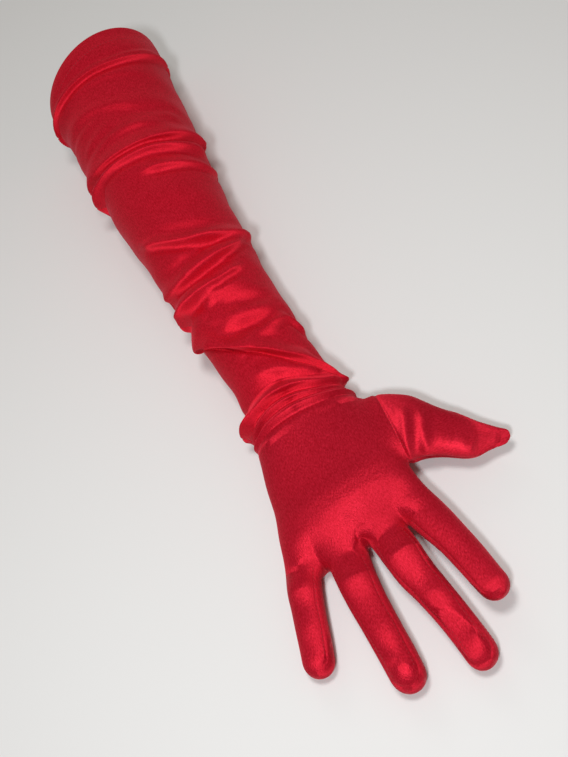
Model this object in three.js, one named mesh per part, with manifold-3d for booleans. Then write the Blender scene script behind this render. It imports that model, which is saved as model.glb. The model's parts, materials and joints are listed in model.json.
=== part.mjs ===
// A full-length satin evening glove for the right hand, lying palm down.
// It is filled out to the shape of an arm.
// Millimetres, +Z up. The fingers point along -Y, the open cuff faces +Y and the thumb is on the +X side.
// Every panel is an open shell that leaves the room inside the glove free.
import * as THREE from "three";
import { mergeVertices } from "three/addons/utils/BufferGeometryUtils.js";
import Module from "manifold-3d";

// ---- driving dimensions ----

const WALL = 1.2; // thickness of a cloth panel
const GAP = 0.3; // clearance kept between neighbouring pieces
const FLOOR_CUT = 1.2; // how much of the round underside is pressed flat by the table
const HAND_TILT = 9; // degrees that the thumb side of the hand is lifted
const TILT_STARTS_Y = 30; // the sleeve begins to turn here
const TILT_FULL_Y = -55; // and is turned by the whole of the tilt here

const WRIST_Y = 0; // wrist hinge
const WRIST_REACH = 18; // half length of the gathered cloth over the wrist
const ELBOW_Y = 212; // elbow hinge
const ELBOW_REACH = 39; // half length of the gathered cloth over the elbow
const CUFF_Y = 300; // middle of the open edge
const CUFF_SKEW = 14; // degrees that the open edge is turned, its thumb side lower
const HEM_WIDTH = 14; // cloth turned in at the open edge
const HAND_END_Y = -78; // knuckle line, where the hand panels end
const KNUCKLE_GAP = 0.6; // clearance from the hand panels to each finger

const FOLD_BEFORE = 12; // from the bottom of a finger's slit to its hinge
const FOLD_AFTER = 10; // from the hinge to where the finger keeps its shape
const FOLD_START_HIGH = 11.5; // most half height of a finger's fold at the knuckle line
const KNUCKLE_START = -4; // a finger is widest here, just before the foot of its slit
const KNUCKLE_REACH = 26; // and keeps its own width from here on
const KNUCKLE_WIDER = 1.2; // how much wider it makes half of the finger
const KNUCKLE_HIGHER = 2; // how much higher it makes half of the finger
const KNUCKLE_MOST_HIGH = 10.5; // but never higher than this
const STRIP_FROM = 40; // degrees above and below the side of a finger that its side strip covers
const SEAM_HALF = 1.2; // half width of a seam's raised ridge
const SEAM_RISE = 0.7; // height of a seam's ridge
const STITCH_WIDTH = 1.4; // width of the line of stitching round the hem
const STITCH_RISE = 0.5; // how far the stitching stands out of the cloth
const STITCH_FROM = -66; // degrees where the stitching leaves the table at the thumb side
const STITCH_TO = 246; // degrees where it meets the table again
const GATHER_RISE = 2.5; // height of the rings in gathered cloth
const DEGREES_PER_STEP = 11; // size of a facet on a panel
const ARM_STEPS = 32; // facets all the way round the sleeve
const THUMB_STEPS = 28;
const FINGER_STEPS = 24;
const STITCHING_STEPS = 30;

// Arm sections from the cuff to the knuckles: place along Y, half width, half height.
const ARM = [
  { y: 300, half: 41, high: 40 },
  { y: 212, half: 37, high: 36 },
  { y: 145, half: 34, high: 32 },
  { y: 95, half: 31.5, high: 28 },
  { y: 50, half: 29.5, high: 24 },
  { y: 18, half: 29, high: 21.5 },
  { y: -18, half: 31, high: 20 },
  { y: -40, half: 36.5, high: 17.5 },
  { y: -60, half: 41, high: 15 },
  { y: -78, half: 43.5, high: 13 },
];

// Fingers: the lane each takes at the knuckle line, the foot of its slit, its tip, and its half sizes.
const FINGERS = [
  {
    name: "index",
    lane: [21.7, 42.2],
    slit: [32.5, -88],
    tip: [45, -152],
    tipZ: 17,
    half: 8.8,
    high: 8.8,
  },
  {
    name: "middle",
    lane: [-1.2, 21.1],
    slit: [11, -94],
    tip: [21.5, -181],
    tipZ: 14,
    half: 9.6,
    high: 9.2,
  },
  {
    name: "ring",
    lane: [-26, -1.8],
    slit: [-13.7, -92],
    tip: [-18.8, -171],
    tipZ: 11,
    half: 8.9,
    high: 8.9,
  },
  {
    name: "little",
    lane: [-43, -26.6],
    slit: [-36.7, -83],
    tip: [-57, -140],
    tipZ: 8.6,
    half: 8,
    high: 8,
  },
];
const SIDES_WITH_STRIP = {
  index: ["little_side"],
  middle: ["thumb_side", "little_side"],
  ring: ["thumb_side", "little_side"],
  little: ["thumb_side"],
};

// Thumb: its root inside the hand, its raised tip, its hinge, and how far past that it keeps its shape.
const THUMB = {
  root: [40, -41],
  rootZ: 21,
  tip: [95, -74],
  tipZ: 14,
  hinge: 20,
  after: 10,
};
const THUMB_ROOT = { half: 21, high: 12 };
const THUMB_END = { half: 11, high: 5.5 };
const THUMB_TAPER = 0.8; // below one, the thumb stays wide for less of its length
const THUMB_HOLE_RUN = [-18, 0, 12, 24, 40]; // sections that shape the hole for it in the hand
const THUMB_FOLD_RUN = [-16, -4, 6, 16, 20, 25]; // sections of the soft cloth at its root

const RED = {
  back: 0xb01228,
  palm: 0xa41024,
  strip: 0xc01c34,
  gather: 0xba162c,
  hem: 0x9c0e22,
  thread: 0x8c0c1e,
};
const SATIN_ROUGHNESS = 0.42;
const THREAD_ROUGHNESS = 0.6;

// ---- sections and shells ----

const radians = THREE.MathUtils.degToRad;
const lerp = THREE.MathUtils.lerp;

// Reads a value of the arm's section at a place along Y, smoothly between the listed sections.
function armValue(y, key) {
  const above = Math.max(1, ARM.findIndex((s) => s.y <= y));
  const [a, b] = [ARM[above - 1], ARM[above]];
  return lerp(a[key], b[key], (a.y - y) / (a.y - b.y));
}

function tiltAt(y) {
  return HAND_TILT * THREE.MathUtils.smoothstep(-y, -TILT_STARTS_Y, -TILT_FULL_Y);
}

// Degrees that a section is turned with the open edge, fading out towards the elbow.
function skewAt(y) {
  const straightY = ELBOW_Y + ELBOW_REACH;
  return CUFF_SKEW * THREE.MathUtils.clamp((y - straightY) / (CUFF_Y - straightY), 0, 1);
}

// A section is an oval: its centre, its sideways and upward directions, and its half width and half height.
function armSection(y) {
  const half = armValue(y, "half");
  const high = armValue(y, "high");
  const tilt = radians(tiltAt(y));
  const reach = Math.hypot(half * Math.sin(tilt), high * Math.cos(tilt));
  const side = new THREE.Vector3(Math.cos(tilt), 0, Math.sin(tilt));
  const skew = radians(skewAt(y));
  const turn = new THREE.Matrix4().makeRotationZ(-skew);
  return {
    centre: new THREE.Vector3(0, y, reach - FLOOR_CUT),
    side: side.applyMatrix4(turn).divideScalar(Math.cos(skew)),
    up: new THREE.Vector3(-Math.sin(tilt), 0, Math.cos(tilt)),
    half,
    high,
  };
}

// A copy of a section made larger or smaller all round.
// Its floor is the height that it keeps above the table.
function grown(section, by) {
  const floor = (section.floor ?? 0) + Math.max(0, -by);
  return { ...section, half: section.half + by, high: section.high + by, floor };
}

function lined(run, wall = WALL) {
  return run.map((section) => section.lining ?? grown(section, -wall));
}

// A point of a section at an angle from the thumb side.
function sectionPoint(section, angle) {
  const point = section.centre.clone();
  point.addScaledVector(section.side, section.half * Math.cos(angle));
  point.addScaledVector(section.up, section.high * Math.sin(angle));
  point.z = Math.max(point.z, section.floor ?? 0);
  return point;
}

// A curved sheet between two degrees round a run of sections, from its outside run to its inside run.
function shell({ outside, inside = lined(outside), from, to, steps }) {
  const count = steps ?? Math.round((to - from) / DEGREES_PER_STEP);
  const round = to - from === 360;
  const columns = round ? count : count + 1;
  const positions = [];
  for (const section of [...outside, ...inside]) {
    for (let i = 0; i < columns; i++) {
      positions.push(...sectionPoint(section, radians(lerp(from, to, i / count))).toArray());
    }
  }
  const rows = outside.length;
  const last = rows - 1;
  const at = (layer, row, column) => (layer * rows + row) * columns + (column % columns);
  const faces = [];
  const quad = (a, b, c, d) => faces.push(a, b, c, a, c, d);
  for (let i = 0; i < count; i++) {
    for (let row = 0; row < last; row++) {
      quad(at(0, row, i), at(0, row, i + 1), at(0, row + 1, i + 1), at(0, row + 1, i));
      quad(at(1, row, i), at(1, row + 1, i), at(1, row + 1, i + 1), at(1, row, i + 1));
    }
    quad(at(0, 0, i), at(1, 0, i), at(1, 0, i + 1), at(0, 0, i + 1));
    quad(at(0, last, i), at(0, last, i + 1), at(1, last, i + 1), at(1, last, i));
  }
  for (let row = 0; row < last && !round; row++) {
    quad(at(0, row, 0), at(0, row + 1, 0), at(1, row + 1, 0), at(1, row, 0));
    quad(at(0, row, count), at(1, row, count), at(1, row + 1, count), at(0, row + 1, count));
  }
  return fromArrays(positions, faces);
}

// The whole inside of a run of sections as one solid, used only for cutting.
function core(run) {
  const steps = ARM_STEPS;
  const positions = [];
  for (const section of run) {
    const free = { ...section, floor: -Infinity };
    for (let i = 0; i < steps; i++) {
      positions.push(...sectionPoint(free, (2 * Math.PI * i) / steps).toArray());
    }
  }
  const last = (run.length - 1) * steps;
  const startCentre = run.length * steps;
  const endCentre = startCentre + 1;
  positions.push(...run[0].centre.toArray(), ...run[run.length - 1].centre.toArray());
  const faces = [];
  for (let i = 0; i < steps; i++) {
    const next = (i + 1) % steps;
    for (let row = 0; row < last; row += steps) {
      faces.push(row + i, row + next, row + steps + next);
      faces.push(row + i, row + steps + next, row + steps + i);
    }
    faces.push(startCentre, next, i, endCentre, last + i, last + next);
  }
  return fromArrays(positions, faces);
}

function fromArrays(positions, faces) {
  const geometry = new THREE.BufferGeometry();
  geometry.setAttribute("position", new THREE.Float32BufferAttribute(positions, 3));
  geometry.setIndex(faces);
  return geometry;
}

// ---- cutting with manifold-3d ----

const wasm = await Module();
wasm.setup();

function solidOf(geometry) {
  const merged = mergeVertices(geometry, 1e-4);
  const mesh = new wasm.Mesh({
    numProp: 3,
    vertProperties: new Float32Array(merged.attributes.position.array),
    triVerts: new Uint32Array(merged.index.array),
  });
  return new wasm.Manifold(mesh);
}

function geometryOf(solid) {
  const mesh = solid.getMesh();
  return fromArrays(Array.from(mesh.vertProperties), Array.from(mesh.triVerts));
}

function cut(geometry, ...tools) {
  let solid = solidOf(geometry);
  for (const tool of tools) {
    solid = solid.subtract(solidOf(tool));
  }
  return geometryOf(solid);
}

// ---- sleeve ----

const glove = new THREE.Group();

function add(name, geometry, color, roughness = SATIN_ROUGHNESS) {
  const flat = geometry.toNonIndexed();
  flat.computeVertexNormals();
  const material = new THREE.MeshStandardMaterial({ color, roughness, metalness: 0 });
  const mesh = new THREE.Mesh(flat, material);
  mesh.name = name;
  glove.add(mesh);
}

// Sections of the arm from one place to another.
function armRun(fromY, toY, count) {
  return Array.from({ length: count + 1 }, (_, i) => armSection(lerp(fromY, toY, i / count)));
}

// Degrees that half a gap takes round a section of a given radius.
function gapDegrees(radius) {
  return THREE.MathUtils.radToDeg(GAP / 2 / radius);
}

// The back and palm panels over one run of the arm, each half way round.
function armPanels(name, run) {
  const gap = gapDegrees(run[0].high);
  add(name + "_back", shell({ outside: run, from: gap, to: 180 - gap }), RED.back);
  add(name + "_palm", shell({ outside: run, from: 180 + gap, to: 360 - gap }), RED.palm);
}

// The ridge of a closed side seam, where the two panels' edges are sewn together and turned in.
function sideSeam(name, run, degrees) {
  const half = THREE.MathUtils.radToDeg(SEAM_HALF / run[0].high);
  const outside = run.map((section) => grown(section, GAP + SEAM_RISE));
  const inside = run.map((section) => grown(section, GAP));
  const ridge = { outside, inside, from: degrees - half, to: degrees + half, steps: 1 };
  add(name, shell(ridge), RED.thread, THREAD_ROUGHNESS);
}

// The upper sleeve, with its turned-in hem just inside the panels and the hem's stitching just outside them.
function upperSleeve() {
  const upper = armRun(CUFF_Y, ELBOW_Y + ELBOW_REACH + GAP, 7);
  armPanels("upper_sleeve", upper);
  const seamRun = armRun(CUFF_Y - HEM_WIDTH - STITCH_WIDTH, ELBOW_Y + ELBOW_REACH + GAP, 5);
  sideSeam("upper_sleeve_outer_seam", seamRun, 180);
  sideSeam("upper_sleeve_inner_seam", seamRun, 360);

  const hem = armRun(CUFF_Y, CUFF_Y - HEM_WIDTH, 2).map((section) => grown(section, -WALL - GAP));
  add("cuff_hem", shell({ outside: hem, from: 0, to: 360, steps: ARM_STEPS }), RED.hem);

  const stitched = armRun(CUFF_Y - HEM_WIDTH + STITCH_WIDTH, CUFF_Y - HEM_WIDTH, 1);
  const outside = stitched.map((section) => grown(section, GAP + STITCH_RISE));
  const inside = stitched.map((section) => grown(section, GAP));
  const ring = { outside, inside, from: STITCH_FROM, to: STITCH_TO, steps: STITCHING_STEPS };
  add("cuff_hem_stitching", shell(ring), RED.thread, THREAD_ROUGHNESS);
}

function forearm() {
  const run = armRun(ELBOW_Y - ELBOW_REACH - GAP, WRIST_Y + WRIST_REACH + GAP, 7);
  armPanels("forearm", run);
  sideSeam("forearm_outer_seam", run, 180);
  sideSeam("forearm_inner_seam", run, 360);

  const elbow = ridged(armRun(ELBOW_Y + ELBOW_REACH, ELBOW_Y - ELBOW_REACH, 6));
  add("elbow_gather", shell({ outside: elbow, from: 0, to: 360, steps: ARM_STEPS }), RED.gather);
  const wrist = ridged(armRun(WRIST_Y + WRIST_REACH, WRIST_Y - WRIST_REACH, 8));
  add("wrist_gather", shell({ outside: wrist, from: 0, to: 360, steps: ARM_STEPS }), RED.gather);
}

// Gathered cloth rises and falls in rings between its two ends.
function ridged(run) {
  return run.map((section, i) => grown(section, i % 2 ? GATHER_RISE : 0));
}

// ---- hand and thumb ----

function flatDirection(from, to) {
  return new THREE.Vector3(to[0] - from[0], to[1] - from[1], 0).normalize();
}

// Sections of the thumb from inside the hand out along its length.
function thumbSection(along) {
  const along01 = THREE.MathUtils.clamp(along / thumbLength(), 0, 1);
  const ahead = flatDirection(THUMB.root, THUMB.tip);
  const height = lerp(THUMB.rootZ, THUMB.tipZ, along01);
  const centre = new THREE.Vector3(THUMB.root[0], THUMB.root[1], height);
  centre.addScaledVector(ahead, along);
  return {
    centre,
    side: new THREE.Vector3(-ahead.y, ahead.x, 0),
    up: new THREE.Vector3(0, 0, 1),
    half: lerp(THUMB_ROOT.half, THUMB_END.half, along01 ** THUMB_TAPER),
    high: lerp(THUMB_ROOT.high, THUMB_END.high, along01),
  };
}

function thumbLength() {
  return Math.hypot(THUMB.tip[0] - THUMB.root[0], THUMB.tip[1] - THUMB.root[1]);
}

function hand() {
  const run = armRun(WRIST_Y - WRIST_REACH - GAP, HAND_END_Y, 6);
  const gap = gapDegrees(run[0].high);
  const thumbHole = core(THUMB_HOLE_RUN.map((along) => grown(thumbSection(along), GAP)));
  const back = shell({ outside: run, from: gap, to: 180 - gap });
  const palm = shell({ outside: run, from: 180 + gap, to: 360 - gap });
  add("hand_back", cut(back, thumbHole), RED.back);
  add("hand_palm", cut(palm, thumbHole), RED.palm);
  sideSeam("hand_outer_seam", run, 180);
}

function thumb() {
  const handSolid = core(armRun(WRIST_Y, HAND_END_Y, 7).map((section) => grown(section, GAP)));
  const keeps = THUMB.hinge + THUMB.after;
  const foldRun = [...THUMB_FOLD_RUN, keeps - GAP].map((along) => thumbSection(along));
  const fold = shell({ outside: foldRun, from: 0, to: 360, steps: THUMB_STEPS });
  add("thumb_fold", cut(fold, handSolid), RED.gather);

  const run = tipRun(thumbSection, keeps, thumbLength(), THUMB_END.high);
  const gap = gapDegrees(THUMB_END.high);
  add("thumb_back", shell({ outside: run, from: gap, to: 180 - gap }), RED.back);
  add("thumb_palm", shell({ outside: run, from: 180 + gap, to: 360 - gap }), RED.palm);
  const straight = run.slice(0, run.length - TIP_STEPS + 2);
  sideSeam("thumb_seam", straight, 180);
}

// ---- fingers ----

const TIP_STEPS = 6;
const TIP_CLOSE = 84; // degrees round the tip at which the panels meet

// Sections along a straight run and then round a closed tip, each with the section of its lining.
function tipRun(sectionAt, from, to, tipRadius) {
  const bend = to - tipRadius;
  const run = [0, 0.25, 0.5, 0.75].map((t) => sectionAt(lerp(from, bend, t)));
  const full = sectionAt(bend);
  const ahead = sectionAt(bend + 1).centre.clone().sub(full.centre).normalize();
  for (let i = 0; i < TIP_STEPS; i++) {
    const angle = radians((TIP_CLOSE * i) / (TIP_STEPS - 1));
    const capped = (by) => ({
      ...full,
      centre: full.centre.clone().addScaledVector(ahead, (tipRadius - by) * Math.sin(angle)),
      half: (full.half - by) * Math.cos(angle),
      high: (full.high - by) * Math.cos(angle),
    });
    run.push({ ...capped(0), lining: capped(WALL) });
  }
  return run;
}

// A finger's sections, measured from the foot of its slit, and wider at the knuckle.
function fingerSection(finger, along) {
  const ahead = flatDirection(finger.slit, finger.tip);
  const footZ = knuckleHeight(finger.slit[0]);
  const height = lerp(footZ, finger.tipZ, along / fingerLength(finger));
  const centre = new THREE.Vector3(finger.slit[0], finger.slit[1], height);
  centre.addScaledVector(ahead, along);
  const tilt = radians(HAND_TILT);
  const level = new THREE.Vector3(-ahead.y, ahead.x, 0);
  const side = level.multiplyScalar(Math.cos(tilt));
  side.z = Math.sin(tilt);
  const slack = 1 - THREE.MathUtils.smoothstep(along, KNUCKLE_START, KNUCKLE_REACH);
  const laneHalf = (finger.lane[1] - finger.lane[0]) / 2 - KNUCKLE_GAP;
  return {
    centre,
    side,
    up: new THREE.Vector3().crossVectors(ahead, side).normalize(),
    half: lerp(finger.half, Math.min(laneHalf, finger.half + KNUCKLE_WIDER), slack),
    high: lerp(finger.high, Math.min(finger.high + KNUCKLE_HIGHER, KNUCKLE_MOST_HIGH), slack),
  };
}

// Height of the middle of the hand's thickness at a place across the knuckle line.
function knuckleHeight(x) {
  const section = armSection(HAND_END_Y);
  return section.centre.z + x * Math.tan(radians(HAND_TILT));
}

function fingerLength(finger) {
  return Math.hypot(finger.tip[0] - finger.slit[0], finger.tip[1] - finger.slit[1]);
}

// The soft stretch between the knuckle line and the part of the finger that keeps its shape.
function fingerFold(finger) {
  const startY = HAND_END_Y - KNUCKLE_GAP;
  const laneMiddle = (finger.lane[0] + finger.lane[1]) / 2;
  const tilt = radians(HAND_TILT);
  const first = {
    centre: new THREE.Vector3(laneMiddle, startY, knuckleHeight(laneMiddle)),
    side: new THREE.Vector3(1, 0, Math.tan(tilt)),
    up: new THREE.Vector3(0, 0, 1),
    half: (finger.lane[1] - finger.lane[0]) / 2,
    high: Math.min(FOLD_START_HIGH, knuckleHeight(laneMiddle)),
  };
  const alongs = [2, 6, FOLD_BEFORE, FOLD_BEFORE + 5, FOLD_BEFORE + FOLD_AFTER - GAP];
  const run = [first, ...alongs.map((along) => fingerSection(finger, along))];
  const fold = shell({ outside: run, from: 0, to: 360, steps: FINGER_STEPS });
  add(finger.name + "_fold", fold, RED.gather);
}

// Back and palm panels with a side strip wherever the finger faces a neighbour.
function fingerPanels(finger) {
  const sectionAt = (along) => fingerSection(finger, along);
  const run = tipRun(sectionAt, FOLD_BEFORE + FOLD_AFTER, fingerLength(finger), finger.half);
  const gap = gapDegrees(finger.half);
  const strips = SIDES_WITH_STRIP[finger.name];
  const thumbEdge = strips.includes("thumb_side") ? STRIP_FROM : 0;
  const littleEdge = strips.includes("little_side") ? STRIP_FROM : 0;
  const back = shell({ outside: run, from: thumbEdge + gap, to: 180 - littleEdge - gap });
  const palm = shell({ outside: run, from: 180 + littleEdge + gap, to: 360 - thumbEdge - gap });
  add(finger.name + "_back", back, RED.back);
  add(finger.name + "_palm", palm, RED.palm);
  for (const strip of strips) {
    const middle = strip === "thumb_side" ? 0 : 180;
    const sides = { from: middle - STRIP_FROM + gap, to: middle + STRIP_FROM - gap };
    add(finger.name + "_strip_" + strip, shell({ outside: run, ...sides }), RED.strip);
  }
}

upperSleeve();
forearm();
hand();
thumb();
for (const finger of FINGERS) {
  fingerFold(finger);
  fingerPanels(finger);
}

// The origin is the middle of the underside of the whole glove.
const bounds = new THREE.Box3().setFromObject(glove);
const middle = bounds.getCenter(new THREE.Vector3());
glove.position.set(-middle.x, -middle.y, -bounds.min.z);
glove.updateMatrixWorld(true);

export default glove;
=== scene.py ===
import json
import math

import bpy
import numpy as np
from mathutils import Matrix, Vector


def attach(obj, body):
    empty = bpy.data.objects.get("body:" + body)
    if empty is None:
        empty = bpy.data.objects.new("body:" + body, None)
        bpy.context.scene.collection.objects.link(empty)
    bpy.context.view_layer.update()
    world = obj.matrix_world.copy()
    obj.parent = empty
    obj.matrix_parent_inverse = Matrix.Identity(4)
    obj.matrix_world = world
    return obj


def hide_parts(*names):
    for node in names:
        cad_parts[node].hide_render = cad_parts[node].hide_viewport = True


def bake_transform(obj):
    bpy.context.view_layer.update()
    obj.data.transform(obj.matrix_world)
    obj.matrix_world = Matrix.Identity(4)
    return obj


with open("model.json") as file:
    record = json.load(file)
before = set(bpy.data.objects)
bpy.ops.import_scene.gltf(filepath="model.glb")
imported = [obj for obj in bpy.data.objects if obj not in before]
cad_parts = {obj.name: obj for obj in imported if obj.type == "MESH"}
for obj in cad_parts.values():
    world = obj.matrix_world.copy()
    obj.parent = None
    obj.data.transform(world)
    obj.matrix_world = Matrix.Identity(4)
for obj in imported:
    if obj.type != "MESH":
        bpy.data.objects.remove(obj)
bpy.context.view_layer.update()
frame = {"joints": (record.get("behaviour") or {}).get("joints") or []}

# ---- Camera ----
# A stills camera looks down at the glove from beyond the fingertips, turned so that the arm runs across the view.
# Places are millimetres from the wrist hinge, with the table at height zero.
joints = {joint["name"]: joint for joint in frame["joints"]}
wrist = Vector(joints["wrist_bend"]["pos_m"])


def place(x, y, z):
    return Vector((wrist.x + x / 1000, wrist.y + y / 1000, z / 1000))


def make_camera():
    stands_at, looks_at = place(-8, -403, 650), place(4.5, 18, 35)
    roll = math.radians(28)
    data = bpy.data.cameras.new("camera")
    data.sensor_width = 36
    data.lens = 62
    camera = bpy.data.objects.new("camera", data)
    bpy.context.scene.collection.objects.link(camera)
    turn = (looks_at - stands_at).to_track_quat("-Z", "Y").to_matrix().to_4x4()
    camera.matrix_world = Matrix.Translation(stands_at) @ turn @ Matrix.Rotation(-roll, 4, "Z")
    bpy.context.scene.camera = camera
    return camera


camera = make_camera()
bpy.context.scene.view_settings.view_transform = "Standard"

# ---- Shape of the stretched hand ----
# Beyond the wrist the satin is stretched over the hand inside it, so its outside is one smooth closed form: ovals for
# the palm, joined softly to one bar for each finger and one for the thumb. The thumb side of the hand is lifted.
HAND_TILT = 9
CELL = 0.9
TABLE_GAP = 0.3
FINGER_START = -30
PALM = np.array([
    # place along the arm, middle across, half width, middle height, half height, tilt
    (12, 1.8, 28.3, 20.3, 20.5, 0),
    (-4, 2.4, 31.3, 19.3, 20, 0),
    (-16, 3.2, 34.4, 18.8, 18.9, 2),
    (-30, 3.2, 38.0, 18.1, 18.2, 5),
    (-48, 1.5, 39.7, 17.6, 17.4, 8),
    (-62, -1.1, 40.7, 17.1, 17.0, 9),
    (-72, -1.9, 40.9, 16.3, 15.6, 9),
    (-82, -2.8, 41.4, 14.2, 11.2, 9),
    (-92, -3.2, 41, 13.5, 9, 9),
], float)

# Fingers: the foot of the slit beside each, the point that it heads for, the height of its middle at the foot, at the
# first joint and at that point, where its tip ends, its middle and half width along its length, and the joints that
# stand up along its back.
FINGERS = {
    "index": dict(
        foot=(32.5, -88), ahead=(45, -152), z=(17.8, 18, 19.4), end=67.8, cut=4.5,
        lumps=[(-13, 0.6, 10), (24, 0.5, 10)],
        widths=[(-30, 0, 9.8), (-8, 0.3, 10.4), (0, 0.9, 10.7), (12, 1.6, 10.4), (24, 2.2, 9.5), (42, 1.9, 9.0),
                (54, 1.2, 8.6), (71, 1.0, 7.9)],
    ),
    "middle": dict(
        foot=(11, -94), ahead=(21.5, -181), z=(15.6, 16.8, 9.6), end=86.5, cut=2.5,
        lumps=[(-14, 2.4, 8), (13, 1.8, 8), (43, 1.3, 8), (74, 0.8, 6)],
        widths=[(-30, 0.5, 10.4), (-8, 0.6, 11.2), (0, 0.5, 11), (12, 0.2, 10.9), (24, -0.1, 10.4), (36, 0.9, 9.6),
                (54, 1.9, 9), (80, 1.7, 8.7), (90, 1.2, 8.4)],
    ),
    "ring": dict(
        foot=(-13.7, -92), ahead=(-18.8, -171), z=(13.4, 14.6, 9.4), end=79.5, cut=3.5,
        lumps=[(-15, 2.2, 8), (15, 1.6, 7), (46, 0.8, 9), (68, 0.9, 6)],
        widths=[(-30, 0, 10.6), (-8, 0, 11.5), (0, -0.2, 11.3), (12, -0.5, 10.8), (24, -0.4, 10.4), (40, 0.6, 9.9),
                (60, 1.9, 9.7), (82, 2.6, 9)],
    ),
    "little": dict(
        foot=(-36.7, -83), ahead=(-57, -140), z=(10.8, 11.8, 8.2), end=60, cut=3,
        lumps=[(-13, 1.9, 8), (11, 1.2, 7), (34, 0.8, 8)],
        widths=[(-30, 0, 9), (-8, -1.0, 9.6), (0, -1.7, 9.4), (12, -1.9, 9.4), (24, -1.3, 9.0), (42, 0, 8.8),
                (62, 0.8, 8.3)],
    ),
}
# Half height of a finger over its half width, and how far up its side a strip between two fingers reaches.
FINGER_HIGH = 0.95
STRIP_SINE = 0.64
THUMB_ROOT = (40, -41)
THUMB_AHEAD = (0.857, -0.514)
THUMB = np.array([
    # place along the thumb, middle across, half width, middle height, half height
    (-30, 0, 16, 18, 12),
    (-10, 3.6, 21.1, 19.5, 12),
    (2, 3.8, 20.8, 19.9, 12.2),
    (12, 3.9, 18.9, 19.6, 11.8),
    (18, 3.6, 16.4, 19.3, 11),
    (24, 2.6, 14.5, 18.8, 10),
    (30, 1.4, 13.3, 18.3, 9),
    (36, 0.3, 12.8, 17.7, 8),
    (42, -1.2, 11.8, 17.2, 7.2),
    (48, -1.9, 9.9, 16.6, 6),
    (54, -1.2, 7.2, 16.1, 4.8),
    (60, -0.9, 5.2, 15.4, 3.8),
    (66, -0.6, 3.8, 15, 3),
], float)
THUMB_END = 62
# The seam along the thumb's lower edge, and the straight seam that sets the thumb into the hand.
THUMB_EDGE_HEIGHT = -1.5
SET_IN_X, SET_IN_Y, SET_IN_SLANT = 41.8, -58.5, 0.06


def smooth_table(table, key, column):
    """A column of a table read smoothly at places of its first column."""
    order = np.argsort(table[:, 0])
    xs, ys = table[order, 0], table[order, column]
    slopes = np.gradient(ys, xs)
    i = np.clip(np.searchsorted(xs, key) - 1, 0, len(xs) - 2)
    h = xs[i + 1] - xs[i]
    t = np.clip((key - xs[i]) / h, 0, 1)
    a, b = ys[i], ys[i + 1]
    return (a * (1 + 2 * t) * (1 - t) ** 2 + h * slopes[i] * t * (1 - t) ** 2
            + b * t * t * (3 - 2 * t) + h * slopes[i + 1] * t * t * (t - 1))


def rising(t):
    t = np.clip(t, 0, 1)
    return t * t * (3 - 2 * t)


def oval_distance(u, v, half, high, end=0, power=2.2):
    """Rough distance out of an oval bar; end grows from zero to one where the bar is rounded off."""
    ku, kv = np.abs(u) / half, np.abs(v) / high
    q = (ku ** power + kv ** power + end ** power + 1e-9) ** (1 / power)
    slope = np.hypot(ku ** (power - 1) / half, kv ** (power - 1) / high) * q ** (1 - power)
    slope = np.maximum(slope, 0.6 / np.maximum(half, high))
    return (q - 1) / slope


def joined(a, b, soft):
    """Two shapes joined with a soft inner corner."""
    mix = np.maximum(soft - np.abs(a - b), 0) / soft
    return np.minimum(a, b) - mix * mix * soft / 4


def groove(offset, depth=0.45, width=0.8):
    """How deep the cloth is drawn in at a distance from a sewn line."""
    return depth * np.exp(-(offset / width) ** 2)


def palm_frame(p):
    x, y, z = p.T
    middle, half, height, high, tilt = (smooth_table(PALM, y, k) for k in range(1, 6))
    tilt = np.radians(tilt)
    u = (x - middle) * np.cos(tilt) + (z - height) * np.sin(tilt)
    v = -(x - middle) * np.sin(tilt) + (z - height) * np.cos(tilt)
    return u, v, half, high


def palm_distance(p):
    u, v, half, high = palm_frame(p)
    side = oval_distance(u, v, half, high, power=2.4)
    side = side + np.where(u < 0, groove(v, 0.4), 0)
    return -joined(-side, p[:, 1] + 87, 6)


def finger_frame(p, finger):
    """Places along and across a finger, its half width and half height there, all from the foot of its slit."""
    foot, aim = np.array(finger["foot"]), np.array(finger["ahead"])
    length = np.hypot(*(aim - foot))
    ahead = (aim - foot) / length
    rel = p[:, :2] - foot
    along = rel @ ahead
    widths = np.array(finger["widths"], float)
    across = rel @ np.array([-ahead[1], ahead[0]]) - smooth_table(widths, along, 1)
    half = smooth_table(widths, along, 2)
    high = half * FINGER_HIGH
    height = np.interp(along, [0, 14, length], finger["z"])
    tilt = math.radians(HAND_TILT)
    up = p[:, 2] - height
    u = across * math.cos(tilt) + up * math.sin(tilt)
    v = -across * math.sin(tilt) + up * math.cos(tilt)
    return along, u, v, half, high


def finger_distance(p, name):
    finger = FINGERS[name]
    along, u, v, half, high = finger_frame(p, finger)
    lift = sum(rise * np.exp(-((along - at) / width) ** 2) for at, rise, width in finger["lumps"])
    v_lifted = np.where(v > 0, v / (1 + lift / high), v)
    round_from = finger["end"] - 1.15 * finger["widths"][-1][2]
    end = np.maximum(along - round_from, 0) / (finger["end"] - round_from)
    start = np.maximum(FINGER_START - along, 0) / half
    bar = oval_distance(u, v_lifted, half, high, end + start, power=2.15)
    seams = 0
    for side in strips_of(name):
        facing = rising(u * side / 2) * rising((along - finger["cut"] + 6) / 5)
        seams = seams + facing * groove((np.abs(v) - STRIP_SINE * high) * 1.2, 0.35, 0.7)
    return bar + seams


def strips_of(name):
    """Sides of a finger that face a neighbour: one for the thumb side, minus one for the little finger's side."""
    return {"index": [-1], "middle": [1, -1], "ring": [1, -1], "little": [1]}[name]


def strip_label(side):
    return "_strip_thumb_side" if side > 0 else "_strip_little_side"


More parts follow.
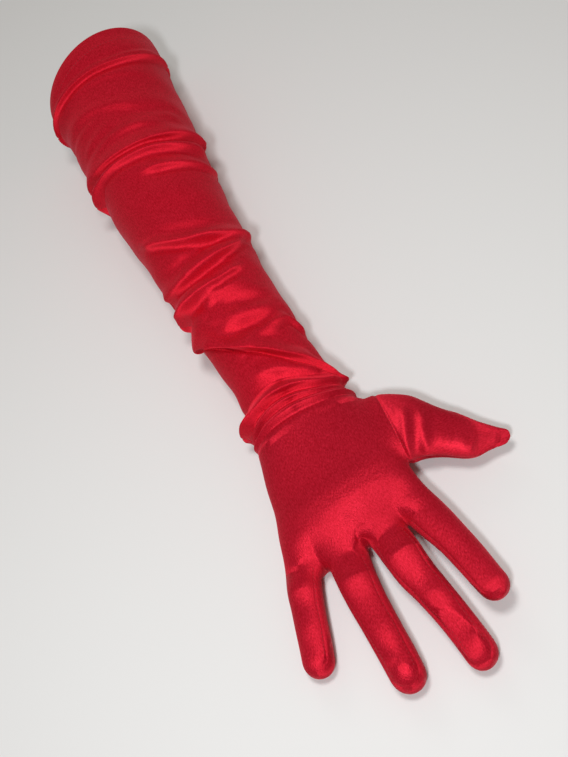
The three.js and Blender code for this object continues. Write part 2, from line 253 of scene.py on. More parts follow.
def tip_pucker(p):
    """Slack at the end of the index finger, gathered into a small lip round a shallow hollow."""
    rel = p - np.array([44.4, -152.4, 22.2])
    facing, across = np.array([0.12, -0.62, 0.775]), np.array([0.98, 0.19, 0.0])
    height = rel @ facing
    side = rel @ across
    other = rel @ np.cross(facing, across)
    ring = np.hypot(side / 1.5, other / 0.9)
    near = np.exp(-(height / 5) ** 2) * rising((9 - ring) / 4)
    uneven = 0.8 + 0.3 * np.cos(np.arctan2(other, side) * 3 + 0.8)
    return near * (0.75 * uneven * np.exp(-((ring - 2.7) / 1.0) ** 2) - 0.55 * np.exp(-(ring / 1.5) ** 2))


def crotch_arc(p):
    """The rounded end of the strip between the ring and middle fingers, set into the back of the hand."""
    ring = np.hypot(p[:, 0] - 0.8, p[:, 1] + 87.5)
    return np.where((p[:, 2] > 17) & (p[:, 1] > -89), groove(ring - 5, 0.22, 0.7), 0)


def thumb_frame(p):
    rel = p[:, :2] - np.array(THUMB_ROOT)
    ahead = np.array(THUMB_AHEAD)
    along = rel @ ahead
    across = rel @ np.array([-ahead[1], ahead[0]])
    middle, half, height, high = (smooth_table(THUMB, along, k) for k in range(1, 5))
    return along, across - middle, p[:, 2] - height, half, high


def thumb_distance(p):
    along, u, v, half, high = thumb_frame(p)
    end = np.maximum(along - THUMB_END, 0) / 3.5
    start = np.maximum(-20 - along, 0) / 20
    bar = oval_distance(u, v, half, high, end + start, power=2.9)
    # The empty tip has folded over, which leaves one slanting flat facing the fingers.
    fold_point, fold_facing = np.array([78, -70.5, 20.5]), np.array([0.05, -0.77, 0.64])
    flat = (p - fold_point) @ fold_facing - 4.5 * rising((50 - along) / 7) + 0.5 * np.exp(-((along - 57) / 2.5) ** 2)
    bar = -joined(-bar, -flat, 0.8)
    drag = 1.3 * np.exp(-((along - 10 + 0.1 * u) / 3.2) ** 2) + 1.2 * np.exp(-((along - 20 + 0.1 * u) / 3.4) ** 2)
    drag = drag * rising((v + 1) / 4) * rising((10 - u) / 9)
    return bar - drag + np.where(u < 0, groove(v - THUMB_EDGE_HEIGHT, 0.4), 0) * rising((along - 10) / 6)


def thumb_seam_offset(p):
    """Distance across the straight seam that sets the thumb into the hand, growing towards the thumb."""
    return p[:, 0] - (SET_IN_X + SET_IN_SLANT * (p[:, 1] - SET_IN_Y))


def hand_distance(p):
    fingers = [finger_distance(p, name) for name in FINGERS]
    spread = fingers[0]
    for other in fingers[1:]:
        spread = joined(spread, other, 1.5)
    hand = joined(palm_distance(p), spread, 7)
    thumb = thumb_distance(p)
    hand = joined(hand, thumb, 4)
    hand = hand + np.where((p[:, 1] > -62) & (thumb < 6), groove(thumb_seam_offset(p), 0.6, 1.0), 0)
    hand = hand - tip_pucker(p) + crotch_arc(p)
    return -joined(-hand, p[:, 2] - TABLE_GAP, 1.5)


def slope_of(distance, points, step=0.2):
    return np.stack([
        (distance(points + step * np.eye(3)[n]) - distance(points - step * np.eye(3)[n])) / (2 * step)
        for n in range(3)
    ], axis=-1)


def onto_surface(distance, points):
    slope = slope_of(distance, points)
    square = np.maximum((slope ** 2).sum(1), 0.05)
    move = -slope * (distance(points) / square)[:, None]
    size = np.linalg.norm(move, axis=1, keepdims=True)
    return points + move * np.minimum(1, 1.0 / np.maximum(size, 1e-9))


# ---- Satin and thread ----
# Stretch satin is a fine polyester cloth whose long floating threads run along the arm and give a soft, coloured shine
# over a deep red. Its wrong side is dull. It is sewn with a matching spun thread.
def satin(name, along="Y"):
    material = bpy.data.materials.new(name)
    material.use_nodes = True
    tree = material.node_tree
    shader = tree.nodes["Principled BSDF"]
    shader.inputs["Metallic"].default_value = 0.64
    shader.inputs["Specular IOR Level"].default_value = 0.3
    shader.inputs["Anisotropic"].default_value = 0.8
    shader.inputs["Sheen Weight"].default_value = 0.08
    shader.inputs["Sheen Roughness"].default_value = 0.35
    shader.inputs["Sheen Tint"].default_value = (1, 0.30, 0.42, 1)
    # Light spreads round the arm, across the floating threads, and hardly along them.
    around = tree.nodes.new("ShaderNodeTangent")
    around.direction_type = "RADIAL"
    around.axis = along
    tree.links.new(around.outputs["Tangent"], shader.inputs["Tangent"])
    where = tree.nodes.new("ShaderNodeTexCoord")

    def noise(scale, detail, stretch=1.0):
        turn = tree.nodes.new("ShaderNodeMapping")
        turn.inputs["Scale"].default_value = (1, stretch, 1) if along == "Y" else (stretch, 1, 1)
        texture = tree.nodes.new("ShaderNodeTexNoise")
        texture.inputs["Scale"].default_value = scale
        texture.inputs["Detail"].default_value = detail
        tree.links.new(where.outputs["Object"], turn.inputs["Vector"])
        tree.links.new(turn.outputs["Vector"], texture.inputs["Vector"])
        return texture.outputs["Fac"]

    def ranged(value, low, high, to_low, to_high):
        spread = tree.nodes.new("ShaderNodeMapRange")
        for socket, number in zip(("From Min", "From Max", "To Min", "To Max"), (low, high, to_low, to_high)):
            spread.inputs[socket].default_value = number
        tree.links.new(value, spread.inputs["Value"])
        return spread.outputs["Result"]

    split = tree.nodes.new("ShaderNodeSeparateXYZ")
    tree.links.new(where.outputs["Object"], split.inputs["Vector"])
    # From the wrist up the gathered cloth gets a broader shine, and its lighter red there is painted light: the sleeve
    # is coloured brighter than the hand to stand in for it catching more light.
    gathered = ranged(split.outputs["Y"], wrist.y - 0.010, wrist.y + 0.008, 0, 1)
    # Grain of the weave, with floats three times as long as they are wide.
    weave = noise(1700, 2, stretch=0.35)
    # Slow changes where the cloth is stretched more or less.
    stretch = noise(45, 3)

    def mixed(factor, first, second):
        mix = tree.nodes.new("ShaderNodeMix")
        mix.data_type = "RGBA"
        tree.links.new(factor, mix.inputs["Factor"])
        for socket, color in (("A", first), ("B", second)):
            if isinstance(color, tuple):
                mix.inputs[socket].default_value = color
            else:
                tree.links.new(color, mix.inputs[socket])
        return mix.outputs["Result"]

    grain = ranged(weave, 0.3, 0.7, 0.05, 0.95)
    taut_red = mixed(grain, (0.48, 0.003, 0.015, 1), (0.71, 0.014, 0.043, 1))
    # Painted light: the sleeve's red is lighter than the hand's red, standing in for the sleeve being more brightly
    # lit.
    painted_lit_sleeve_red = mixed(grain, (0.57, 0.003, 0.015, 1), (0.84, 0.016, 0.047, 1))
    tree.links.new(mixed(gathered, taut_red, painted_lit_sleeve_red), shader.inputs["Base Color"])
    rough = tree.nodes.new("ShaderNodeMath")
    tree.links.new(ranged(stretch, 0.3, 0.7, 0.53, 0.63), rough.inputs[0])
    tree.links.new(ranged(gathered, 0, 1, 0, 0.09), rough.inputs[1])
    tree.links.new(rough.outputs["Value"], shader.inputs["Roughness"])
    threads = tree.nodes.new("ShaderNodeBump")
    threads.inputs["Strength"].default_value = 0.9
    threads.inputs["Distance"].default_value = 0.00026
    tree.links.new(weave, threads.inputs["Height"])
    tree.links.new(threads.outputs["Normal"], shader.inputs["Normal"])
    return material


def dull_cloth(name, color, roughness, scale):
    material = bpy.data.materials.new(name)
    material.use_nodes = True
    tree = material.node_tree
    shader = tree.nodes["Principled BSDF"]
    shader.inputs["Roughness"].default_value = roughness
    where = tree.nodes.new("ShaderNodeTexCoord")
    fibres = tree.nodes.new("ShaderNodeTexNoise")
    fibres.inputs["Scale"].default_value = scale
    fibres.inputs["Detail"].default_value = 3
    tree.links.new(where.outputs["Object"], fibres.inputs["Vector"])
    colors = tree.nodes.new("ShaderNodeMix")
    colors.data_type = "RGBA"
    colors.inputs["A"].default_value = tuple(0.7 * c for c in color) + (1,)
    colors.inputs["B"].default_value = tuple(1.3 * c for c in color) + (1,)
    tree.links.new(fibres.outputs["Fac"], colors.inputs["Factor"])
    tree.links.new(colors.outputs["Result"], shader.inputs["Base Color"])
    bump = tree.nodes.new("ShaderNodeBump")
    bump.inputs["Strength"].default_value = 0.3
    bump.inputs["Distance"].default_value = 0.0002
    tree.links.new(fibres.outputs["Fac"], bump.inputs["Height"])
    tree.links.new(bump.outputs["Normal"], shader.inputs["Normal"])
    return material


red_satin = satin("red_satin")
thumb_satin = satin("red_satin_across", along="X")
wrong_side = dull_cloth("satin_wrong_side", (0.26, 0.008, 0.022), 0.75, 1600)
red_thread = dull_cloth("red_thread", (0.36, 0.006, 0.018), 0.6, 4000)

# ---- Sleeve ----
# One length of satin, longer than the arm inside it, so it gathers in slanting folds between taut stretches. It is cut
# in a back and a palm panel that are sewn together along both sides; the folds are modelled where they lie.
THICKNESS = 0.45
PRESSED = 1.2
RIM_ROLL, RIM_ROUND = 0.9, 1.3
RIM_Y = 311
SPLIT_Y = 142
SLEEVE_END_Y = -16
ARM = np.array([
    # place along the arm, middle across, half width, half height
    (312, -1.0, 43.2, 41.5),
    (300, -1.2, 43.0, 41),
    (285, -1.6, 42.0, 40.2),
    (270, -1.6, 41.0, 39.4),
    (250, -2.3, 40.0, 38.2),
    (230, -3.0, 39.2, 37),
    (210, -3.4, 37.8, 35.8),
    (190, -4.0, 36.2, 34.6),
    (170, -4.0, 34.8, 33.4),
    (150, -3.5, 33.2, 32),
    (130, -2.6, 31.8, 30.4),
    (110, -2.4, 30.5, 28.9),
    (90, -1.6, 29.6, 27.4),
    (70, -0.2, 28.6, 25.8),
    (50, 0.8, 27.7, 24),
    (30, 2.2, 27.8, 22.3),
    (14, 2.7, 28.8, 21.3),
    (0, 2.3, 30.6, 20.5),
    (-16, 3.2, 34.4, 19.5),
    (-24, 3.4, 36, 18.8),
], float)

# Folds: points of the crest as degrees from the thumb side and place along the arm, its height, its width on the
# cuff's side and on the hand's side, and how far the crest is pushed towards the hand. A dip has a height below zero.
FOLDS = [
    ([(-35, 293), (0, 290), (25, 285), (51, 280.5), (76, 279), (100, 282), (130, 288), (160, 296), (200, 300),
      (235, 303)], 1.9, 3.4, 2.6, 1.6),
    ([(-30, 294), (25, 287), (51, 282.5), (76, 281), (100, 284), (130, 290), (160, 298), (200, 302)],
     -1.2, 1.2, 1.2, 0),
    ([(40, 215), (69, 219), (110, 220.5), (136, 222), (165, 226)], 1.2, 5, 5, 0.5),
    ([(-20, 214), (18, 211), (53, 207.5), (77, 207.5), (101, 209), (140, 216), (172, 224), (205, 228)],
     3.3, 5, 2.4, 3.2),
    ([(140, 208), (165, 209), (190, 209), (225, 209)], 2.4, 4.5, 3, 1.0),
    ([(0, 200), (20, 199), (59, 198.5), (81, 201), (105, 203), (137, 208), (170, 211), (205, 214)],
     2.6, 3.6, 3.0, 1.8),
    ([(-15, 185), (30, 181), (56, 182), (80, 184), (105, 187)], 1.9, 3.6, 2.6, 1.2),
    ([(-10, 128), (31, 124), (46, 123), (76, 123.5), (100, 128), (132, 141), (156, 150)], 2.7, 3.8, 3.0, 1.6),
    ([(15, 123), (32, 118), (56, 111), (90, 105.5), (125, 106), (159, 112), (190, 119)], 2.6, 4.5, 2.8, 1.8),
    ([(45, 98), (69, 94), (85, 92), (114, 92), (146, 95), (180, 102)], 2.3, 4, 2.6, 1.6),
    ([(30, 72), (50, 70), (86, 74), (118, 81), (145, 90)], -1.3, 5, 4, 0),
    ([(118, 92), (150, 94), (175, 96), (215, 96)], 3.6, 4.5, 3.0, 1.5),
    ([(40, 58), (51, 56), (84, 55), (124, 62), (140, 74)], -1.8, 4, 3.5, 0),
    ([(2, 5), (24, 12), (40, 20), (66, 28.5), (89, 38.5), (113, 49), (140, 62), (165, 73), (188, 80), (225, 83)],
     4.0, 7, 2.0, 4.6),
    ([(-5, 46), (21, 49), (31, 53), (56, 52), (78, 50)], 2.2, 3.6, 2.6, 1.2),
    ([(-35, 8), (10, 8), (40, 11), (70, 18), (100, 24), (130, 26)], 1.1, 4, 3, 0.5),
    ([(-15, 7), (32, 5), (58, 5.5), (86, 9), (108, 10), (143, 9), (168, 9), (215, 8)], 3.4, 3.0, 2.0, 1.8),
    ([(128, 7), (160, 6), (185, 5), (225, 4)], 4.8, 4.5, 3.2, 1.0),
    ([(-40, 0), (9, 1), (63, 0), (93, 2), (125, 2), (148, 1), (172, 0), (215, -2)], 2.2, 2.0, 1.5, 1.0),
    ([(-30, -5), (9, -4), (68, -5), (97, -4), (137, -4), (160, -5), (190, -6)], 2.0, 2.2, 2.2, 0.9),
]
FAINT_FOLDS = 34


def faint_folds():
    """Small drag lines that run beside the large folds, each in its own slanting direction."""
    dice = np.random.default_rng(7)
    folds = []
    for _ in range(FAINT_FOLDS):
        at, middle = dice.uniform(25, 128), dice.uniform(40, 150)
        if dice.random() < 0.3:
            at = dice.uniform(185, 270)
        reach, slant = dice.uniform(22, 55), dice.normal(0.08, 0.14)
        crest = [(middle + reach * t, at + slant * reach * t + dice.normal(0, 0.8)) for t in (-1, -0.5, 0, 0.5, 1)]
        rise = dice.uniform(0.25, 0.75) * (1 if dice.random() < 0.7 else -1)
        folds.append((crest, rise, dice.uniform(2.2, 5), dice.uniform(2, 3.5), 0.3))
    return folds


def fold_shift(degrees, y):
    """How far the cloth stands out of the arm and slides along it at places given as degrees and millimetres."""
    degrees = np.where(degrees > 270, degrees - 360, degrees)
    out = np.zeros_like(y)
    along = np.zeros_like(y)
    for crest, rise, cuff_side, hand_side, push in FOLDS + faint_folds():
        points = np.array(crest, float)
        middle = smooth_table(points, degrees, 1)
        start, end = points[0, 0], points[-1, 0]
        fade = rising((degrees - start) / 26) * rising((end - degrees) / 26)
        u = y - middle
        ridge = fade * np.exp(-np.where(u > 0, (u / cuff_side) ** 2, (u / hand_side) ** 2))
        crease = fade * np.exp(-((u + 2.1 * hand_side) / hand_side) ** 2)
        valley = fade * np.exp(-((u - 2.0 * cuff_side) / cuff_side) ** 2)
        out += rise * (1.15 * ridge - 0.52 * crease - 0.22 * valley)
        along -= push * ridge
    pressed_flat = 0.25 + 0.75 * rising((np.sin(np.radians(degrees)) + 0.85) / 0.7)
    keeps = rising((y - SLEEVE_END_Y) / 5) * rising((RIM_Y + 1 - y) / 9)
    sway = 0.35 * np.sin(0.11 * y + np.radians(degrees) * 2 + 0.6) + 0.25 * np.sin(0.23 * y - np.radians(degrees) * 3)
    return (out + sway) * pressed_flat * keeps, along * pressed_flat * keeps


def sleeve_points(degrees, y):
    """Points of the sleeve's outside, in millimetres."""
    middle, half, high = (smooth_table(ARM, y, k) for k in range(1, 4))
    out, along = fold_shift(degrees, y)
    angle = np.radians(degrees)
    seams = groove((np.abs(np.mod(degrees + 90, 180) - 90)) * np.radians(1) * half, 0.45, 1.0)
    rim = np.clip((y - RIM_Y + RIM_ROUND) / RIM_ROUND, 0, 1) ** 2
    out = out - seams - RIM_ROLL * rim
    side = half * np.cos(angle)
    # The open edge is not cut square: it drops towards both sides, most of all at the little finger's.
    drop = (7.5 - 0.24 * side + 0.001 * side ** 2) * rising((y - 250) / 60)
    x = middle + side + out * np.cos(angle)
    z = high - PRESSED + (high + out) * np.sin(angle)
    made = np.stack([x, y + along - drop, np.maximum(z, 0.4)], axis=-1)
    # The last stretch takes the shape of the hand, so that cloth runs on smoothly from the wrist.
    flat = made.reshape(-1, 3)
    last = flat[:, 1] < 0
    meets = flat[last]
    for _ in range(4):
        fixed = onto_surface(hand_distance, meets)
        meets = np.stack([fixed[:, 0], meets[:, 1], fixed[:, 2]], axis=-1)
    share = rising((-5 - y.reshape(-1)[last]) / 9)[:, None]
    flat[last] = flat[last] * (1 - share) + meets * share
    return flat.reshape(made.shape)


def sleeve_grid():
    """Degrees and places of the sleeve's grid lines, closer together beside the seams."""
    quarter = np.concatenate([np.arange(0, 3, 0.6), np.arange(3, 90, 2)])
    half_turn = np.unique(np.round(np.concatenate([quarter, 180 - quarter[::-1]]), 2))
    degrees = np.concatenate([half_turn[:-1], 180 + half_turn])
    rows = np.concatenate([
        RIM_Y - np.array([0, 0.3, 0.6, 0.9, 1.2]),
        np.arange(RIM_Y - 2, SPLIT_Y, -0.8),
        np.arange(SPLIT_Y, SLEEVE_END_Y, -0.7),
        [SLEEVE_END_Y],
    ])
    return degrees, rows, len(half_turn)


def surface_normals(grid):
    along_rows = np.gradient(grid, axis=0)
    ring = np.concatenate([grid[:, -2:-1], grid, grid[:, 1:2]], axis=1)
    round_columns = (ring[:, 2:] - ring[:, :-2]) / 2
    normal = np.cross(round_columns, along_rows)
    return normal / np.maximum(np.linalg.norm(normal, axis=-1, keepdims=True), 1e-9)


def cloth(name, points, normals, faces, outside, inside=wrong_side, thickness=THICKNESS):
    """A closed thin piece of cloth: its outside faces, the same faces turned round just under them, and its edges."""
    used, faces_flat = np.unique(np.concatenate([np.asarray(f) for f in faces]), return_inverse=True)
    sizes = [len(f) for f in faces]
    starts = np.concatenate([[0], np.cumsum(sizes)[:-1]])
    outer = [faces_flat[s:s + n].tolist() for s, n in zip(starts, sizes)]
    count = len(used)
    edges = {}
    for face in outer:
        for a, b in zip(face, face[1:] + face[:1]):
            if (b, a) in edges:
                del edges[b, a]
            else:
                edges[a, b] = True
    rims = [[b, a, a + count, b + count] for a, b in edges]
    inner = [[v + count for v in face[::-1]] for face in outer]
    top, direction = points[used], normals[used]
    both = np.concatenate([top, top - direction * thickness])
    both[:, 2] = np.maximum(both[:, 2], TABLE_GAP * 0.5)
    mesh = bpy.data.meshes.new(name)
    offset = np.array([wrist.x, wrist.y, 0])
    mesh.from_pydata((both / 1000 + offset).tolist(), [], outer + inner + rims)
    mesh.materials.append(outside)
    mesh.materials.append(inside)
    slots = [0] * len(outer) + [1] * len(inner) + [0] * len(rims)
    mesh.polygons.foreach_set("material_index", slots)
    mesh.polygons.foreach_set("use_smooth", [True] * (2 * len(outer)) + [False] * len(rims))
    outer_loops = np.concatenate([np.asarray(f) for f in outer])
    inner_loops = np.concatenate([np.asarray(f) for f in inner]) - count
    loop_normals = np.concatenate([direction[outer_loops], -direction[inner_loops], np.zeros((4 * len(rims), 3))])
    mesh.normals_split_custom_set(loop_normals.tolist())
    mesh.update()
    piece = bpy.data.objects.new(name, mesh)
    bpy.context.scene.collection.objects.link(piece)
    return piece


sleeve_degrees, sleeve_rows, half_count = sleeve_grid()
sleeve_mesh = sleeve_points(*np.meshgrid(sleeve_degrees, sleeve_rows))
sleeve_normals = surface_normals(sleeve_mesh)


def sleeve_panel(name, first_y, last_y, palm):
    """The back or the palm panel of the sleeve between two places along the arm."""
    columns = len(sleeve_degrees)
    rows = np.flatnonzero((sleeve_rows <= first_y + 0.01) & (sleeve_rows >= last_y - 0.01))
    start, end = (half_count - 1, columns - 1) if palm else (0, half_count - 1)
    row, column = np.meshgrid(rows[:-1], np.arange(start, end), indexing="ij")
    corner = row * columns + column
    quads = np.stack([corner, corner + 1, corner + columns + 1, corner + columns], axis=-1).reshape(-1, 4)
    return cloth(name, sleeve_mesh.reshape(-1, 3), sleeve_normals.reshape(-1, 3), list(quads), red_satin)


upper_back = sleeve_panel("upper_sleeve_back_cloth", RIM_Y, SPLIT_Y, palm=False)
upper_palm = sleeve_panel("upper_sleeve_palm_cloth", RIM_Y, SPLIT_Y, palm=True)
lower_back = sleeve_panel("forearm_back_cloth", SPLIT_Y, SLEEVE_END_Y, palm=False)
lower_palm = sleeve_panel("forearm_palm_cloth", SPLIT_Y, SLEEVE_END_Y, palm=True)
for panel, stands_for in [
    (upper_back, ["upper_sleeve_back", "elbow_gather"]),
    (upper_palm, ["upper_sleeve_palm"]),
    (lower_back, ["forearm_back", "wrist_gather"]),
    (lower_palm, ["forearm_palm"]),
]:
    above_elbow = panel in (upper_back, upper_palm)
    if above_elbow:
        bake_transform(panel)
    else:
        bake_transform(panel)
    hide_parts(*stands_for)

# ---- Hem ----
# At the open end the satin is turned in once, right side showing, and held by a row of small stitches.
HEM_DEPTH = 14


def make_hem():
    rows = np.array([RIM_Y - 0.2, RIM_Y - 0.8, RIM_Y - 2, RIM_Y - 5, RIM_Y - 8, RIM_Y - 11, RIM_Y - HEM_DEPTH])
    degrees = np.arange(-90, 270, 2.5)
    grid_degrees, grid_rows = np.meshgrid(degrees, rows)
    grid = sleeve_points(grid_degrees, grid_rows)
    closed = np.concatenate([grid, grid[:, :1]], axis=1)
    normal = surface_normals(closed)[:, :-1]
    inner = grid - normal * np.array([0.8, 1.0, 1.1, 1.1, 1.1, 1.1, 1.1])[:, None, None]
    rows_count, columns = len(rows), len(degrees)
    row, column = np.meshgrid(np.arange(rows_count - 1), np.arange(columns), indexing="ij")
    after = (column + 1) % columns
    first, second = row * columns, (row + 1) * columns
    quads = np.stack([first + column, second + column, second + after, first + after], axis=-1)
    return cloth("cuff_hem_band", inner.reshape(-1, 3), -normal.reshape(-1, 3), list(quads.reshape(-1, 4)), red_satin)


hem = make_hem()
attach(hem, "upper_sleeve")
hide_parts("cuff_hem")


# ---- Stitches ----
# Each seam is sewn with a close row of small stitches that lie in the groove between two panels.
def stitch_tree():
    tree = bpy.data.node_groups.new("row_of_stitches", "GeometryNodeTree")
    tree.interface.new_socket("Geometry", in_out="INPUT", socket_type="NodeSocketGeometry")
    for label, value in (("Stitch Length", 0.0015), ("Stitch Thickness", 0.0004), ("Spacing", 0.0021)):
        socket = tree.interface.new_socket(label, in_out="INPUT", socket_type="NodeSocketFloat")
        socket.default_value = value
    tree.interface.new_socket("Geometry", in_out="OUTPUT", socket_type="NodeSocketGeometry")
    nodes, links = tree.nodes, tree.links
    given, made = nodes.new("NodeGroupInput"), nodes.new("NodeGroupOutput")
    points = nodes.new("GeometryNodeCurveToPoints")
    points.mode = "LENGTH"
    links.new(given.outputs["Geometry"], points.inputs["Curve"])
    links.new(given.outputs["Spacing"], points.inputs["Length"])
    turn = nodes.new("FunctionNodeAlignRotationToVector")
    turn.axis = "Z"
    links.new(points.outputs["Tangent"], turn.inputs["Vector"])
    stitch = nodes.new("GeometryNodeMeshUVSphere")
    stitch.inputs["Segments"].default_value = 6
    stitch.inputs["Rings"].default_value = 4
    stitch.inputs["Radius"].default_value = 0.5
    size = nodes.new("ShaderNodeCombineXYZ")
    for axis, label in (("X", "Stitch Thickness"), ("Y", "Stitch Thickness"), ("Z", "Stitch Length")):
        links.new(given.outputs[label], size.inputs[axis])
    copies = nodes.new("GeometryNodeInstanceOnPoints")
    links.new(points.outputs["Points"], copies.inputs["Points"])
    links.new(stitch.outputs["Mesh"], copies.inputs["Instance"])
    links.new(turn.outputs["Rotation"], copies.inputs["Rotation"])
    links.new(size.outputs["Vector"], copies.inputs["Scale"])
    real = nodes.new("GeometryNodeRealizeInstances")
    paint = nodes.new("GeometryNodeSetMaterial")
    paint.inputs["Material"].default_value = red_thread
    links.new(copies.outputs["Instances"], real.inputs["Geometry"])
    links.new(real.outputs["Geometry"], paint.inputs["Geometry"])
    links.new(paint.outputs["Geometry"], made.inputs["Geometry"])
    return tree


row_of_stitches = stitch_tree()
stitch_inputs = {item.name: item.identifier for item in row_of_stitches.interface.items_tree if item.in_out == "INPUT"}


def stitching(name, paths, length=1.5, thickness=0.42, spacing=2.1):
    """Rows of stitches along paths in millimetres, as one plain mesh."""
    curve = bpy.data.curves.new(name + "_path", "CURVE")
    curve.dimensions = "3D"
    for path in paths:
        line = curve.splines.new("POLY")
        line.points.add(len(path) - 1)
        for point, spot in zip(line.points, path):
            point.co = (*place(*spot), 1)
    drawn = bpy.data.objects.new(name + "_path", curve)
    bpy.context.scene.collection.objects.link(drawn)
    modifier = drawn.modifiers.new("stitches", "NODES")
    modifier.node_group = row_of_stitches
    for label, value in (("Stitch Length", length), ("Stitch Thickness", thickness), ("Spacing", spacing)):
        modifier[stitch_inputs[label]] = value / 1000
    graph = bpy.context.evaluated_depsgraph_get()
    mesh = bpy.data.meshes.new_from_object(drawn.evaluated_get(graph), depsgraph=graph)
    bpy.data.objects.remove(drawn)
    mesh.polygons.foreach_set("use_smooth", [True] * len(mesh.polygons))
    piece = bpy.data.objects.new(name, mesh)
    bpy.context.scene.collection.objects.link(piece)
    return piece


def sleeve_line(degrees, rows):
    return sleeve_points(np.array(degrees, float)[None], np.array(rows, float)[None])[0]


hem_degrees = np.arange(-88, 269, 2.0)
hem_row = np.full(len(hem_degrees), RIM_Y - HEM_DEPTH + 1.5)
hem_stitches = stitching("cuff_hem_stitches", [sleeve_line(hem_degrees, hem_row)])
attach(hem_stitches, "upper_sleeve")
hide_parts("cuff_hem_stitching")
for side, degree, label in (("outer", 180, "outer_seam"), ("inner", 0, "inner_seam")):
    high_rows, low_rows = np.arange(RIM_Y - 2, SPLIT_Y, -1.0), np.arange(SPLIT_Y, SLEEVE_END_Y, -1.0)
    upper = stitching("upper_sleeve_" + side + "_stitches", [sleeve_line(np.full(len(high_rows), degree), high_rows)])
    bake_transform(upper)
    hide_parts("upper_sleeve_" + label)
    lower = stitching("forearm_" + side + "_stitches", [sleeve_line(np.full(len(low_rows), degree), low_rows)])
    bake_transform(lower)
    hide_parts("forearm_" + label)


# ---- Hand panels ----
# The back and the palm are stretched smoothly over the hand. They are sewn together down the little finger's side and
# round the straight seam that sets the thumb in, and each finger carries on from them.
def surface_of(distance, low, high, cell):
    """A closed quad surface where a distance is zero, found on a grid and then moved exactly onto it."""
    axes = [np.arange(a, b, cell) for a, b in zip(low, high)]
    shape = tuple(len(a) for a in axes)
    grid = np.stack(np.meshgrid(*axes, indexing="ij"), axis=-1).reshape(-1, 3)
    value = np.concatenate([distance(part) for part in np.array_split(grid, 24)]).reshape(shape)
    grid = grid.reshape(*shape, 3)
    cells = tuple(n - 1 for n in shape)
    total = np.zeros((*cells, 3))
    count = np.zeros(cells)
    corner = {}
    for i in (0, 1):
        for j in (0, 1):
            for k in (0, 1):
                corner[i, j, k] = (slice(i, i + cells[0]), slice(j, j + cells[1]), slice(k, k + cells[2]))
    for a in corner:
        for axis in range(3):
            if a[axis]:
                continue
            b = tuple(1 if n == axis else a[n] for n in range(3))
            va, vb = value[corner[a]], value[corner[b]]
            crosses = (va < 0) != (vb < 0)
            t = np.where(crosses, va / np.where(crosses, va - vb, 1), 0)[..., None]
            total += np.where(crosses[..., None], grid[corner[a]] * (1 - t) + grid[corner[b]] * t, 0)
            count += crosses
    used = count > 0
    number = -np.ones(cells, int)
    number[used] = np.arange(used.sum())
    points = total[used] / count[used][:, None]
    faces = []
    for axis in range(3):
        one, two = [n for n in range(3) if n != axis]
        inner = [slice(1, cells[n]) for n in range(3)]
        inner[axis] = slice(0, cells[axis])
        near = value[tuple(inner)] < 0
        shifted = list(inner)
        shifted[axis] = slice(1, cells[axis] + 1)
        far = value[tuple(shifted)] < 0
        index = np.argwhere(near != far)
        leaving = near[tuple(index.T)]
        index[:, [one, two]] += 1

        def cell_number(back_one, back_two):
            at = index.copy()
            at[:, one] -= back_one
            at[:, two] -= back_two
            return number[tuple(at.T)]

        quad = np.stack([cell_number(1, 1), cell_number(0, 1), cell_number(0, 0), cell_number(1, 0)], axis=-1)
        turned = leaving if axis == 1 else ~leaving
        quad[turned] = quad[turned][:, ::-1]
        faces.append(quad)
    for _ in range(3):
        points = onto_surface(distance, points)
    return points, np.concatenate(faces)


def cut_along(points, faces, offset, chosen):
    """Splits the chosen faces where a sewn line crosses them, so that panel edges follow the line."""
    value = offset(points)
    value = np.where(np.abs(value) < 0.02, 0.02, value)
    above = value > 0
    new_points, edge_points, result = [], {}, []
    for number, face in enumerate(faces):
        sides = [above[v] for v in face]
        if not chosen[number] or all(sides) or not any(sides):
            result.append(face)
            continue
        parts = {True: [], False: []}
        for a, b in zip(face, face[1:] + face[:1]):
            parts[above[a]].append(a)
            if above[a] != above[b]:
                key = (min(a, b), max(a, b))
                if key not in edge_points:
                    t = value[a] / (value[a] - value[b])
                    edge_points[key] = len(points) + len(new_points)
                    new_points.append(points[a] * (1 - t) + points[b] * t)
                parts[above[a]].append(edge_points[key])
                parts[above[b]].append(edge_points[key])
        result += [part for part in parts.values() if len(part) > 2]
    return np.concatenate([points, np.array(new_points).reshape(-1, 3)]), result


def middles(points, faces):
    sizes = np.array([len(face) for face in faces])
    corners = points[np.fromiter((v for face in faces for v in face), int, sizes.sum())]
    return np.add.reduceat(corners, np.cumsum(sizes) - sizes) / sizes[:, None]


